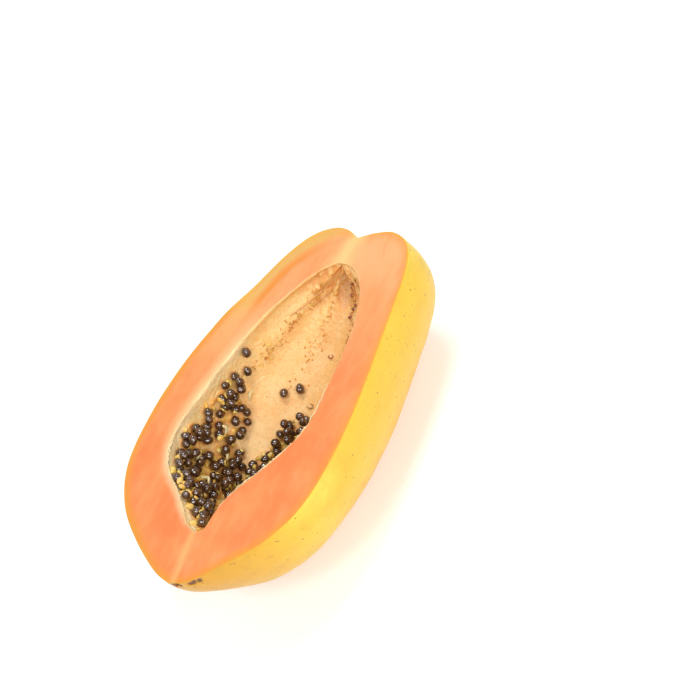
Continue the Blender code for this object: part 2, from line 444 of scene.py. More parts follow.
def make_half():
    """The half as one closed mesh of rings across the fruit, and where it lies in the frame."""
    skin_places = even_places(SKIN_OUTLINE, ROWS + 1)
    hollow_places = even_places(HOLLOW_OUTLINE, ROWS + 1)
    skin_angles = crowded(SKIN_STEPS + 1, 0.7) * np.pi / 2
    hollow_angles = crowded(HOLLOW_STEPS + 1, 0.6) * np.pi / 2
    shares = (1 - np.cos(np.pi * np.linspace(0, 1, FACE_STEPS + 1))) / 2
    half_width = np.maximum(through(HOLLOW_OUTLINE, hollow_places)[:, 1], 0)

    edges = skin_wall(skin_places, np.array([-np.pi / 2, np.pi / 2]))
    edges[..., 2] = 0
    skin_edges = (edges[:, 0], edges[:, 1])
    bare_rims = hollow_wall(hollow_places, np.array([-np.pi / 2, np.pi / 2]))
    bare_rims[..., 2] = 0
    rims = (bare_rims[:, 0], bare_rims[:, 1])

    skin, skin_stain = skin_zone(skin_places, skin_angles)
    left, left_rim, left_peel = face_zone(skin_edges[0], rims[0], half_width, shares)
    right, right_rim, right_peel = face_zone(skin_edges[1], rims[1], half_width, shares)
    hollow, hollow_along, stumps, pulp, pocket = hollow_zone(
        hollow_places, hollow_angles, rims, skin_edges, half_width
    )
    zones = (skin, right, hollow, left)
    for zone in zones:
        near_cut = np.exp(np.minimum(zone[..., 2], 0) / (3 * MM))
        zone[..., 2] += face_height(zone) * near_cut

    def over_zones(*values):
        """A field from its values on the skin, the right face, the hollow and the left face."""
        return [value + np.zeros(zone.shape[:2]) for value, zone in zip(values, zones)]

    def ring(parts):
        """The four stretches of every ring in order, each corner once."""
        skin_part, right_part, hollow_part, left_part = parts
        back = left_part[:, ::-1]
        return np.concatenate([skin_part, right_part[:, 1:-1], hollow_part[:, ::-1], back[:, 1:-1]], axis=1)

    fields = {
        "stain": over_zones(skin_stain, 0, 0, 0),
        "rim": over_zones(1, right_rim, -hollow_along, left_rim),
        "peel": over_zones(0, right_peel, 1, left_peel),
        "stumps": over_zones(0, 0, stumps, 0),
        "pulp": over_zones(0, 0, pulp, 0),
        "pocket": over_zones(0, 0, pocket, 0),
    }
    for name, field in (("cord", cords), ("streak", streaks), ("wing", outer_wing)):
        fields[name] = [field(zone) for zone in zones]
    points = ring(zones)
    fields = {name: ring(parts) for name, parts in fields.items()}
    around = points.shape[1]
    number = np.arange(points.shape[0] * around).reshape(points.shape[:2])
    following = np.roll(number, -1, axis=1)
    faces = np.stack([number[:-1], following[:-1], following[1:], number[1:]], axis=-1).reshape(-1, 4)
    column = np.arange(around)
    finish = np.where(column < SKIN_STEPS, 0, 1)
    hollow_start = SKIN_STEPS + FACE_STEPS
    finish = np.where((column >= hollow_start) & (column < hollow_start + HOLLOW_STEPS), 2, finish)
    finishes = np.tile(finish, points.shape[0] - 1)

    flat = points.reshape(-1, 3)
    low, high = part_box("papaya_half")
    offset = np.array(
        [
            (low.x + high.x - flat[:, 0].min() - flat[:, 0].max()) / 2,
            (low.y + high.y - flat[:, 1].min() - flat[:, 1].max()) / 2,
            high.z,
        ]
    )
    flat = flat + offset
    flat[:, 2] = np.maximum(flat[:, 2], low.z)

    mesh = bpy.data.meshes.new("papaya_half_fine")
    mesh.from_pydata(flat.tolist(), [], faces.tolist())
    mesh.polygons.foreach_set("material_index", finishes.astype(np.int32))
    for name, values in fields.items():
        stored = mesh.attributes.new(name, "FLOAT", "POINT")
        stored.data.foreach_set("value", values.reshape(-1).astype(np.float32))
    bm = bmesh.new()
    bm.from_mesh(mesh)
    bmesh.ops.remove_doubles(bm, verts=bm.verts, dist=0.002 * MM)
    if bm.calc_volume(signed=True) < 0:
        bmesh.ops.reverse_faces(bm, faces=bm.faces)
    bm.to_mesh(mesh)
    bm.free()
    mesh.shade_smooth()
    return mesh, offset


# ---------------- seeds and pulp


def place_at(outline, y):
    """The place where an outline passes y."""
    fine = np.linspace(0, 1, 2000)
    heights = through(outline, fine)[:, 0]
    rising = np.maximum.accumulate(heights)
    return np.interp(y, rising, fine)


def hollow_spot(y, angle_deg, lift):
    """A point this far off the hollow's wall."""
    place = place_at(HOLLOW_OUTLINE, y)
    angle = math.radians(angle_deg)
    near = hollow_wall(place + np.array([-0.004, 0, 0.004]), angle + np.array([-0.01, 0, 0.01]))
    off = np.cross(near[2, 1] - near[0, 1], near[1, 2] - near[1, 0])
    off /= np.linalg.norm(off)
    spot = near[1, 1]
    if off @ (np.array([smooth_value(HOLLOW_MIDDLE, y), y, 0]) - spot) < 0:
        off = -off
    # The bumpy wall stands in or out of the smooth one, so it is found by looking down at it.
    found = LINING.ray_cast(Vector(spot + off * LOOK_DOWN), Vector(-off), 2 * LOOK_DOWN)[0]
    if found is not None:
        spot = np.array(found)
    return spot + off * lift


def bank_spot(bank):
    """A random y and angle inside a bank."""
    y, angle, half_length, half_angle, _ = bank
    turn = DRAW.uniform(0, 2 * math.pi)
    out = math.sqrt(DRAW.uniform(0, 1))
    return y + out * math.cos(turn) * half_length, angle + out * math.sin(turn) * half_angle


def smooth_mesh(name, bm):
    """A smooth mesh from one being built, which is then freed."""
    mesh = bpy.data.meshes.new(name)
    bm.to_mesh(mesh)
    bm.free()
    mesh.shade_smooth()
    return mesh


def moved(spot):
    """The move from the origin to a spot given in the fruit's coordinates."""
    return Matrix.Translation(Vector(spot + HALF_OFFSET))


def seed_mesh(number):
    """One seed: an egg with a blunt and a pointed end and low, knobbly ridges."""
    bm = bmesh.new()
    bmesh.ops.create_uvsphere(bm, u_segments=26, v_segments=18, radius=1.0)
    shift = Vector((number * 7.3, 0, 0))
    long_half = SEED_HALF_LENGTH * (0.95 + 0.03 * (number % 4))
    wide_half = SEED_HALF_WIDTH * (0.96 + 0.04 * (number % 3))
    for vertex in bm.verts:
        here = vertex.co.copy()
        taper = 1 - 0.10 * here.z - 0.05 * here.z**2
        swell = 1 + 0.06 * noise.noise(here * 1.6 + shift) + 0.024 * noise.noise(here * 4 + shift)
        swell -= 0.03 * noise.voronoi(here * 3.2 + shift)[0][0]
        wide = wide_half * taper
        vertex.co = Vector((here.x * wide, here.y * wide * 0.94, here.z * long_half)) * swell
    return smooth_mesh(f"seed_shape_{number}", bm)


def tumbled(size):
    """A random turn and a size, as a matrix."""
    turn = DRAW.uniform(0, 2 * math.pi)
    axis = Vector([DRAW.gauss(0, 1) for _ in range(3)])
    return Matrix.Rotation(turn, 4, axis) @ Matrix.Scale(size, 4)


def link(made):
    bpy.context.scene.collection.objects.link(made)
    return made


def joined(name, parts, finish):
    """One object from (mesh, matrix) parts, kept as separate bodies."""
    bm = bmesh.new()
    for mesh, matrix in parts:
        copy = mesh.copy()
        copy.transform(matrix)
        bm.from_mesh(copy)
        bpy.data.meshes.remove(copy)
    mesh = smooth_mesh(name, bm)
    mesh.materials.clear()
    mesh.materials.append(finish)
    return link(bpy.data.objects.new(name, mesh))


def settled(centre):
    """The middle of a seed, lowered onto the wall if it would hang a little above it."""
    offset = Vector(HALF_OFFSET)
    nearest, _, _, away = LINING.find_nearest(centre - offset)
    gap = away - SEED_LIFT
    if 0 < gap < MOST_SETTLING:
        return centre + (nearest + offset - centre).normalized() * gap
    return centre


def make_seeds(finish):
    """Every seed of the frame as a detailed seed, and the rest of the banks around them."""
    shapes = [seed_mesh(number) for number in range(SEED_SHAPES)]
    for shape in shapes:
        shape.materials.append(finish)
    centres = []
    for name in sorted(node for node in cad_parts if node.startswith("seed_")):
        low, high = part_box(name)
        centre = settled((low + high) / 2)
        centres.append(np.array(centre) - HALF_OFFSET)
        seed = link(bpy.data.objects.new(name + "_fine", DRAW.choice(shapes)))
        seed.matrix_world = Matrix.Translation(centre) @ tumbled(DRAW.uniform(0.97, 1.06))
        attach(seed, "root")
        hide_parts(name)
    for number, bank in enumerate(SEED_BANKS, start=1):
        parts = []
        for _ in range(TRIES * bank[4]):
            if len(parts) == bank[4]:
                break
            y, angle = bank_spot(bank)
            if y < 0.035 or abs(angle) > 85:
                continue
            for rise in range(6):
                spot = hollow_spot(y, angle, SEED_LIFT + rise * MM)
                gap = min(np.linalg.norm(spot - other) for other in centres)
                held = rise == 0 or gap < SEED_SPACING[1]
                if gap > SEED_SPACING[0] and held and spot[2] < -BELOW_CUT:
                    centres.append(spot)
                    parts.append((DRAW.choice(shapes), moved(spot) @ tumbled(DRAW.uniform(0.9, 1.05))))
                    break
        if parts:
            bank_seeds = joined(f"more_seeds_{number:02d}", parts, finish)
            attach(bank_seeds, "root")
    return centres


def mark_seats(mesh, centres):
    """Stores how close each point of the half lies to a seed, 1 under it and 0 a few mm away: the mask of the painted
    shade and red-brown jacket tint around each seed.
    """
    tree = kdtree.KDTree(len(centres))
    for number, centre in enumerate(centres):
        tree.insert(centre + HALF_OFFSET, number)
    tree.balance()
    seat = mesh.attributes.new("seat", "FLOAT", "POINT")
    for vertex, stored in zip(mesh.vertices, seat.data):
        away = tree.find(vertex.co)[2]
        stored.value = max(0.0, 1 - max(0.0, away - 2.8 * MM) / (2.2 * MM))


def blob_mesh(number, divisions=3):
    """A torn bit of pulp."""
    bm = bmesh.new()
    bmesh.ops.create_icosphere(bm, subdivisions=divisions, radius=1.0)
    shift = Vector((0, number * 5.1, 0))
    for vertex in bm.verts:
        here = vertex.co.copy()
        swell = 1 + 0.38 * noise.noise(here * 1.4 + shift) + 0.16 * noise.noise(here * 3.4 + shift)
        vertex.co = here * swell
    return smooth_mesh(f"pulp_shape_{number}", bm)


def make_pulp(centres, finish):
    """Yellow bits of pulp and seed sacs between the seeds of each bank."""
    shapes = [blob_mesh(number) for number in range(5)]
    for number, bank in enumerate(SEED_BANKS, start=1):
        parts = []
        for _ in range(bank[4] * 2 + 4):
            y, angle = bank_spot(bank)
            if y < 0.034 or abs(angle) > 83:
                continue
            size = DRAW.uniform(1.2, 2.5) * MM
            spot = hollow_spot(y, angle, DRAW.uniform(1.8, 5.6) * MM)
            if min(np.linalg.norm(spot - seed) for seed in centres) > SEED_HALF_WIDTH + 0.1 * size:
                spot = hollow_spot(y, angle, 0.3 * size)
            if spot[2] > -BELOW_CUT:
                continue
            squash = Matrix.Diagonal((size, size * DRAW.uniform(0.5, 0.9), size * DRAW.uniform(0.6, 1.4), 1))
            parts.append((DRAW.choice(shapes), moved(spot) @ tumbled(1) @ squash))
        if parts:
            bits = joined(f"pulp_{number:02d}", parts, finish)
            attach(bits, "root")


def strand(name, route, radius, finish):
    """A thread of pulp along a route, thinner at both ends."""
    curve = bpy.data.curves.new(name, "CURVE")
    curve.dimensions = "3D"
    curve.bevel_depth = radius
    curve.bevel_resolution = 3
    curve.use_fill_caps = True
    points = through(route, np.linspace(0, 1, 8 * len(route)))
    spline = curve.splines.new("POLY")
    spline.points.add(len(points) - 1)
    for number, (point, made) in enumerate(zip(points, spline.points)):
        made.co = (*(point + HALF_OFFSET), 1)
        share = number / (len(points) - 1)
        made.radius = 0.45 + 0.55 * math.sin(math.pi * share) + 0.18 * noise.noise(Vector(point) / (2 * MM))
    drawn = link(bpy.data.objects.new(name + "_drawn", curve))
    graph = bpy.context.evaluated_depsgraph_get()
    mesh = bpy.data.meshes.new_from_object(drawn.evaluated_get(graph))
    bpy.data.objects.remove(drawn)
    mesh.name = name
    mesh.materials.clear()
    mesh.materials.append(finish)
    mesh.shade_smooth()
    made = link(bpy.data.objects.new(name, mesh))
    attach(made, "root")


def curl(y, angle, turns, size, rise):
    """A route that curls on the hollow's wall."""
    route = []
    count = max(6, int(turns * 7))
    for number in range(count):
        share = number / (count - 1)
        turn = turns * 2 * math.pi * share
        reach = size * (1 - 0.55 * share)
        spot = hollow_spot(
            y + reach * math.cos(turn) + 0.4 * size * share,
            angle + math.degrees(reach * math.sin(turn) / WALL_RADIUS),
            0.3 * MM + rise * share,
        )
        route.append(spot)
    return route


def on_wall(*places):
    """A route through places on the hollow's wall, each y, angle and height off it in mm."""
    return [hollow_spot(y, angle, lift * MM) for y, angle, lift in places]


def on_rim(side, start, end, count, sink):
    """A ragged route along one rim of the hollow, -1 the left one and 1 the right one."""
    route = []
    for y in np.linspace(start, end, count):
        half_width = through(HOLLOW_OUTLINE, place_at(HOLLOW_OUTLINE, y))[1]
        x = smooth_value(HOLLOW_MIDDLE, y) + side * (half_width + DRAW.uniform(-0.5, 0.2) * MM)
        route.append(np.array([x, y, -(sink + DRAW.uniform(-0.3, 0.3)) * MM]))
    return route


def make_arch(orange, deep_orange):
    """The cords that arch over the pocket at the top of the hollow."""
    left = on_wall((0.180, -66, 0.3), (0.192, -60, 0.5), (0.203, -50, 0.7), (0.2095, -30, 0.6))
    inner_left = on_wall((0.190, -50, 0.3), (0.200, -40, 0.6), (0.2075, -24, 0.9))
    top = on_wall((0.2085, -40, 0.5), (0.2105, -14, 0.6), (0.209, 8, 0.6), (0.203, 10, 0.5), (0.194, 4, 0.3))
    inner_top = on_wall((0.200, -34, 0.8), (0.207, -24, 1.2), (0.208, -6, 1.0), (0.200, 0, 0.8))
    strand("arch_left", left, 0.55 * MM, orange)
    strand("arch_inner_left", inner_left, 0.42 * MM, orange)
    strand("arch_top", top, 0.5 * MM, orange)
    strand("arch_inner_top", inner_top, 0.42 * MM, deep_orange)


def make_crescents(pale):
    """Pale empty seed jackets, curled between the seeds."""
    places = [
        ("jacket_1", (0.088, -38, 4.2), (0.0915, -41, 5.6), (0.094, -47, 4.8)),
        ("jacket_2", (0.104, -52, 3.2), (0.107, -55, 4.6), (0.1065, -61, 4.0)),
        ("jacket_3", (0.078, -58, 4.0), (0.081, -61, 5.4), (0.084, -60, 4.2)),
        ("jacket_4", (0.066, -36, 4.4), (0.069, -40, 5.8), (0.067, -46, 5.0)),
        ("jacket_5", (0.128, -50, 0.8), (0.131, -53, 1.8), (0.1345, -52, 0.9)),
        ("jacket_6", (0.118, -45, 0.8), (0.120, -48, 1.9), (0.1235, -48, 1.0)),
        ("jacket_7", (0.056, -66, 2.8), (0.059, -69, 3.6), (0.062, -68, 2.8)),
    ]
    for name, *route in places:
        strand(name, on_wall(*route), 1.05 * MM, pale)


def scatter(name, places, sizes, finish):
    """Small lumps at the given points, joined as one piece."""
    shapes = [blob_mesh(number, 2) for number in range(4)]
    parts = []
    for place in places:
        size = DRAW.uniform(*sizes) * MM
        squash = Matrix.Diagonal((size, size * DRAW.uniform(0.6, 1), size * DRAW.uniform(0.6, 1.5), 1))
        parts.append((DRAW.choice(shapes), moved(place) @ tumbled(1) @ squash))
    lumps = joined(name, parts, finish)
    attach(lumps, "root")


def line_places(low_angle, high_angle, start, end, count, spread):
    """Random points on the wall along one of the lines that seeds grew on."""
    places = []
    for _ in range(count):
        share = DRAW.uniform(0, 1)
        y = between(start, end, share)
        middle = line_angle(low_angle, high_angle, y)
        places.append(hollow_spot(y, middle + DRAW.gauss(0, spread), DRAW.uniform(0.0, 0.25) * MM))
    return places


def make_lumps(gold, rust, brown, dark, cream):
    """Stumps of seed stalks, dark crumbs by the pocket, and torn bits on the rims and the scar."""
    stumps = []
    for low_angle, high_angle in SEED_LINES:
        stumps += line_places(low_angle, high_angle, 0.142, 0.206, 46, 3.2)
    stumps += line_places(-56, -56, 0.188, 0.204, 34, 6.0)
    scatter("stalk_stumps", stumps, (0.35, 0.75), gold)
    red = line_places(-60, -58, 0.150, 0.205, 34, 2.6) + line_places(4, 4, 0.168, 0.206, 44, 2.4)
    scatter("red_stumps", red, (0.35, 0.75), rust)
    by_pocket = [(0.2085, 14), (0.2078, 14), (0.2070, 12), (0.2065, 11), (0.2055, 10)]
    by_pocket += [(0.203, 7), (0.201, 7), (0.199, 5), (0.197, 4), (0.193, 2)]
    crumbs = [hollow_spot(y, angle + DRAW.gauss(0, 3), 0.25 * MM) for y, angle in by_pocket]
    scatter("dark_crumbs", crumbs, (0.7, 1.3), dark)
    rims = on_rim(1, 0.056, 0.128, 14, 1.0) + on_rim(-1, 0.040, 0.088, 16, 1.5)
    scatter("torn_bits", rims, (0.4, 1.0), cream)
    scar = []
    for _ in range(14):
        x = 0.0085 + DRAW.gauss(0, 1.5) * MM
        scar.append(np.array([x, -0.0006, -0.0018 + DRAW.gauss(0, 0.8) * MM]))
    scatter("blossom_scar", scar, (0.35, 0.8), brown)


def make_strands(gold, brown):
    """The curled threads that seeds hung from, left on the bare wall."""
    places = [
        ("gold_curl_1", 0.161, -67, 0.9, 2.6 * MM, gold),
        ("gold_curl_2", 0.158, -61, 0.7, 2.0 * MM, gold),
        ("gold_curl_3", 0.155, -57, 0.8, 2.2 * MM, gold),
        ("gold_curl_4", 0.148, -60, 0.5, 2.0 * MM, gold),
        ("brown_curl_1", 0.170, -12, 0.8, 1.5 * MM, brown),
        ("brown_curl_2", 0.139, -10, 0.6, 2.4 * MM, brown),
        ("brown_curl_3", 0.134, -3, 0.4, 2.0 * MM, gold),
    ]
    for name, y, angle, turns, size, finish in places:
        strand(name, curl(y, angle, turns, size, 1.2 * MM), 0.42 * MM, finish)


# ---------------- finishes


class Wire:
    """A shader value that sums, products and comparisons can be written with."""

    def __init__(self, finish, socket):
        self.finish = finish
        self.socket = socket

    def maths(self, operation, *others):
        return self.finish.node("ShaderNodeMath", {"operation": operation}, [self, *others])

    def __add__(self, other):
        return self.maths("ADD", other)

    def __sub__(self, other):
        return self.maths("SUBTRACT", other)

    def __rsub__(self, other):
        return self.finish.node("ShaderNodeMath", {"operation": "SUBTRACT"}, [other, self])

    def __mul__(self, other):
        return self.maths("MULTIPLY", other)

    def largest(self, other):
        return self.maths("MAXIMUM", other)

    def rising(self, low, high):
        """0 below low and 1 above high, eased between."""
        settings = {"interpolation_type": "SMOOTHSTEP"}
        return self.finish.node("ShaderNodeMapRange", settings, [self, low, high, 0.0, 1.0])

    __radd__ = __add__
    __rmul__ = __mul__


class Nodes:
    """The nodes of a material or a world, written as expressions."""

    def __init__(self, made, shader_name):
        self.made = made
        made.use_nodes = True
        self.nodes = made.node_tree.nodes
        self.links = made.node_tree.links
        self.shader = self.nodes[shader_name]

    def node(self, kind, settings=None, values=(), output=0):
        made = self.nodes.new(kind)
        for key, value in (settings or {}).items():
            setattr(made, key, value)
        pairs = values.items() if isinstance(values, dict) else enumerate(values)
        for key, value in pairs:
            self.feed(made.inputs[key], value)
        return Wire(self, made.outputs[output])

    def feed(self, socket, value):
        if isinstance(value, Wire):
            self.links.new(value.socket, socket)
        elif value is not None:
            socket.default_value = value


class Finish(Nodes):
    """A material, its plain values set on the shader and its patterns mixed from nodes."""

    def __init__(self, name, **constants):
        super().__init__(bpy.data.materials.new(name), "Principled BSDF")
        for socket, value in constants.items():
            self.shader.inputs[socket.replace("_", " ")].default_value = value

    def place(self):
        """Where the point is on the object, in metres."""
        return self.node("ShaderNodeTexCoord", output="Object")

    def axes(self):
        """The same place as three numbers, along X, Y and Z."""
        split = self.node("ShaderNodeSeparateXYZ", {}, [self.place()])
        return [Wire(self, output) for output in split.socket.node.outputs]

    def stretched(self, scale):
        """The place, scaled by a different amount along each axis."""
        return self.node("ShaderNodeVectorMath", {"operation": "MULTIPLY"}, [self.place(), scale])

    def mask(self, name):
        """A value stored on the mesh."""
        return self.node("ShaderNodeAttribute", {"attribute_name": name}, output="Fac")

    def grain(self, size, detail=3.0, roughness=0.55, scale=(1, 1, 1)):
        """Noise from 0 to 1 with features of this size in metres."""
        values = {"Vector": self.stretched(scale), "Scale": 1 / size, "Detail": detail, "Roughness": roughness}
        return self.node("ShaderNodeTexNoise", {}, values)

    def cells(self, size):
        """Distance from the middle of each of many packed cells, in cell sizes."""
        values = {"Vector": self.place(), "Scale": 1 / size}
        return self.node("ShaderNodeTexVoronoi", {}, values)

    def mix(self, share, first, second):
        """One colour going to another as share rises from 0 to 1."""
        values = {0: share, 6: first, 7: second}
        return self.node("ShaderNodeMix", {"data_type": "RGBA"}, values, output=2)

    def colour(self, value):
        self.painted = value
        self.feed(self.shader.inputs["Base Color"], value)

    def over(self, share, value):
        """Lays a colour over the colour so far, as much as share."""
        self.colour(self.mix(share, self.painted, value))

    def roughness(self, value):
        self.feed(self.shader.inputs["Roughness"], value)

    def coat(self, value):
        self.feed(self.shader.inputs["Coat Weight"], value)

    def bump(self, height, distance, strength=1.0, under=None):
        values = {"Height": height, "Distance": distance, "Strength": strength, "Normal": under}
        return self.node("ShaderNodeBump", {}, values)

    def normal(self, value):
        self.feed(self.shader.inputs["Normal"], value)


def paint(red, green, blue, light=STUDIO_LIGHT):
    """The shader colour of a surface that looks this colour, 0 to 255, in this much light."""
    return (*[((part / 255 + 0.055) / 1.055) ** 2.4 / light for part in (red, green, blue)], 1.0)


def lifted_against_shade(red, green, blue):
    """The same, painted brighter for a surface deep in the hollow: painted light against the hollow's shade."""
    return paint(red, green, blue, HOLLOW_LIGHT)


def skin_finish():
    """Ripe yellow skin with green streaks at the stem end, gold below and olive freckles."""
    skin = Finish(
        "ripe_skin", Roughness=0.42, Coat_Weight=0.12, Coat_Roughness=0.35,
        Subsurface_Weight=0.12,
        Subsurface_Radius=(1.0, 0.5, 0.15),
        Subsurface_Scale=0.003,
    )
    _, along, height = skin.axes()
    cloud = skin.grain(0.045, 2.0, scale=(1, 0.55, 1))
    streaks = skin.grain(0.0065, 3.0, scale=(1, 0.12, 1))
    skin.colour(skin.mix(cloud.rising(0.38, 0.66), paint(248, 197, 44), paint(253, 217, 70)))
    low = 1 - height.rising(0.012, 0.058)
    skin.over(low * 0.85, paint(236, 164, 22))
    tip = 1 - along.rising(-0.112, -0.060)
    skin.over(tip * 0.8, paint(222, 152, 10))
    mottle = skin.grain(0.011, 4.0, 0.65).rising(0.46, 0.72) * (0.25 + tip * 0.45 + low * 0.35)
    skin.over(mottle, paint(212, 158, 26))
    scuff = skin.grain(0.004, 4.0, 0.7, scale=(1, 0.5, 1)).rising(0.60, 0.72) * (tip * 0.5 + 0.12)
    skin.over(scuff, paint(176, 120, 26))
    stem = along.rising(0.030, 0.105)
    green = stem * streaks.rising(0.50, 0.68)
    skin.over(green * 0.5, paint(216, 194, 44))
    patches = skin.grain(0.030, 2.0, scale=(1, 0.6, 1)).rising(0.56, 0.72)
    far_side = 1 - height.rising(0.030, 0.064)
    skin.over(patches * far_side * 0.35, paint(186, 176, 60))
    skin.over((skin.grain(0.0018, 3.0) - 0.5).largest(0.0) * 0.9, paint(226, 180, 40))
    freckle = (1 - skin.cells(0.0060).rising(0.05, 0.13)) * skin.grain(0.014, 1.0).rising(0.30, 0.44)
    skin.over(freckle * 0.8, paint(128, 98, 28))
    speck = (1 - skin.cells(0.0036).rising(0.06, 0.19)) * skin.grain(0.010, 1.0).rising(0.38, 0.52)
    skin.over(speck * 0.6, paint(170, 128, 30))
    pores = 1 - skin.cells(0.0021).rising(0.10, 0.30)
    skin.over(pores * 0.16, paint(210, 160, 40))
    stain = skin.mask("stain")
    crust = skin.grain(0.0012, 3.0, 0.6)
    skin.over(stain.rising(0.10, 0.70) * 0.85, paint(176, 112, 36))
    skin.over((stain * (0.5 + crust)).rising(0.55, 1.0) * 0.9, paint(104, 62, 26))
    skin.roughness(0.36 + skin.grain(0.006, 3.0) * 0.16)
    dimples = skin.bump(skin.grain(0.0016, 3.0), 0.00022, 0.7)
    skin.normal(skin.bump(1 - freckle, 0.00018, 0.8, dimples))
    return skin.made


def flesh_finish():
    """Moist salmon flesh, golden under the skin and cream around the hollow."""
    flesh = Finish(
        "flesh", Roughness=0.45, Coat_Weight=0.04, Coat_Roughness=0.2,
        Subsurface_Weight=0.22,
        Subsurface_Radius=(1.0, 0.38, 0.14),
        Subsurface_Scale=0.004,
    )
    across, along, _ = flesh.axes()
    cloud = flesh.grain(0.030, 2.0)
    fibres = flesh.grain(0.0045, 4.0, scale=(1, 0.35, 1))
    salmon = flesh.mix(cloud.rising(0.35, 0.68), paint(252, 139, 70), paint(254, 156, 86))
    peach = flesh.mix(cloud.rising(0.35, 0.65), paint(253, 186, 124), paint(254, 170, 102))
    flesh.colour(flesh.mix(along.rising(0.0, 0.105), salmon, peach))
    left = 1 - across.rising(-0.050, -0.015)
    flesh.over(left * along.rising(-0.03, 0.06) * 0.7, paint(255, 192, 116))
    flesh.over(fibres.rising(0.42, 0.70) * 0.20, paint(255, 190, 130))
    flesh.over((1 - fibres.rising(0.30, 0.48)) * 0.20, paint(248, 128, 60))
    wander = flesh.grain(0.008, 2.0) * 0.003
    peel = flesh.mask("peel") + wander - 0.0015
    flesh.over((1 - peel.rising(0.0010, 0.0075)) * (0.55 + left * 0.45), paint(252, 158, 52))
    flesh.over(1 - peel.rising(0.0002, 0.0018), paint(244, 176, 48))
    rim = flesh.mask("rim") + wander - 0.0015
    border = (1 - rim.rising(0.0002, 0.0012)) * 0.6
    flesh.over(border, paint(255, 216, 150))
    lower_left = (1 - across.rising(-0.014, 0.002)) * (1 - along.rising(-0.050, -0.022))
    flesh.over((1 - rim.rising(0.0008, 0.0052)) * lower_left * 0.7, paint(255, 212, 160))
    tip_edge = (1 - peel.rising(0.0010, 0.0060)) * (1 - along.rising(-0.105, -0.050))
    flesh.over(tip_edge * 0.6, paint(240, 156, 36))
    wide_border = (1 - rim.rising(0.0010, 0.0095)) * left * along.rising(-0.080, 0.02)
    flesh.over(wide_border * 0.85, paint(255, 212, 152))
    flesh.over(flesh.mask("wing") * 0.75, paint(254, 196, 84))
    # Painted shade: the deep orange streak along the step in the cut.
    flesh.over(flesh.mask("streak") * 0.85, paint(252, 148, 16))
    flesh.over(flesh.mask("cord"), paint(255, 216, 138))
    spots = (1 - flesh.cells(0.010).rising(0.02, 0.07)) * flesh.grain(0.02, 1.0).rising(0.52, 0.66)
    flesh.over(spots * 0.5, paint(248, 126, 44))
    flesh.roughness(0.34 + flesh.grain(0.004, 3.0) * 0.22)
    wet = flesh.bump(flesh.grain(0.0011, 4.0), 0.00024, 0.9)
    flesh.normal(flesh.bump(fibres, 0.00035, 0.6, wet))
    return flesh.made


def hollow_finish():
    """The hollow's pale, finely bumpy lining, with stumps, pulp and a brown pocket at its top, and painted light and
    shade: lighter towards the rim, darker in the bumps' low places, under the banks and around the seeds.
    """
    lining = Finish(
        "hollow_lining", Roughness=0.5, Coat_Weight=0.08, Coat_Roughness=0.3,
        Subsurface_Weight=0.2,
        Subsurface_Radius=(1.0, 0.45, 0.18),
        Subsurface_Scale=0.003,
    )
    _, along, _ = lining.axes()
    depth = lining.mask("rim") * -1.0
    cloud = lining.grain(0.016, 3.0)
    lining.colour(lining.mix(cloud.rising(0.36, 0.66), lifted_against_shade(250, 198, 126), lifted_against_shade(254, 212, 146)))
    # Painted light: the lining is painted lighter towards the rim, which leaves it darker deep in the hollow as
    # painted shade.
    painted_rim_light = 1 - depth.rising(0.010, 0.045)
    lining.over(painted_rim_light * 0.6, lifted_against_shade(255, 216, 144))
    fine = lining.grain(0.0019, 3.0)
    # Painted shade: darker orange in the low places of the fine bumps, from the same noise that makes those bumps.
    lining.over((1 - fine.rising(0.36, 0.54)) * 0.40, lifted_against_shade(246, 180, 96))
    dots = 1 - lining.cells(0.0026).rising(0.12, 0.34)
    lining.over(dots * lining.grain(0.012, 2.0).rising(0.46, 0.6) * 0.5, lifted_against_shade(232, 160, 78))
    stumps = lining.mask("stumps")
    lining.over(stumps.rising(0.16, 0.62) * 0.6, lifted_against_shade(214, 142, 52))
    lining.over(stumps.rising(0.55, 0.95) * 0.55, lifted_against_shade(168, 96, 36))
    pulp = lining.mask("pulp")
    # Orange over the banks' bed: partly the pulp's own colour, partly painted shade under and between the seeds.
    lining.over(pulp.rising(0.04, 0.60) * 0.75, lifted_against_shade(238, 160, 66))
    lining.over(pulp.rising(0.45, 1.05) * 0.7, lifted_against_shade(250, 204, 100))
    stem = along.rising(0.066, 0.088)
    threads = lining.grain(0.0032, 4.0, scale=(1, 0.4, 1))
    lining.over(stem * threads.rising(0.40, 0.60) * 0.75, lifted_against_shade(228, 148, 66))
    pocket = lining.mask("pocket")
    tan = lining.mix(threads.rising(0.36, 0.64), lifted_against_shade(222, 164, 104), lifted_against_shade(238, 190, 136))
    lining.over(pocket.rising(0.1, 0.8) * 0.85, tan)
    seat = lining.mask("seat")
    # Painted shade under and around each seed, partly the red-brown tint of its jacket.
    lining.over(seat.rising(0.05, 0.9) * 0.6, lifted_against_shade(214, 118, 42))
    membrane = (1 - depth.rising(0.0050, 0.0095)) * (1 - along.rising(0.025, 0.050))
    streaky = lining.grain(0.0040, 3.0, scale=(1, 0.14, 1)).rising(0.34, 0.66)
    lining.over(membrane * (0.5 + streaky * 0.5), lifted_against_shade(255, 226, 174))
    lining.roughness(0.40 + lining.grain(0.003, 3.0) * 0.25)
    fine_bump = lining.bump(fine, 0.0006, 0.8)
    lining.normal(lining.bump(1 - lining.cells(0.0014), 0.0003, 0.6, fine_bump))
    return lining.made


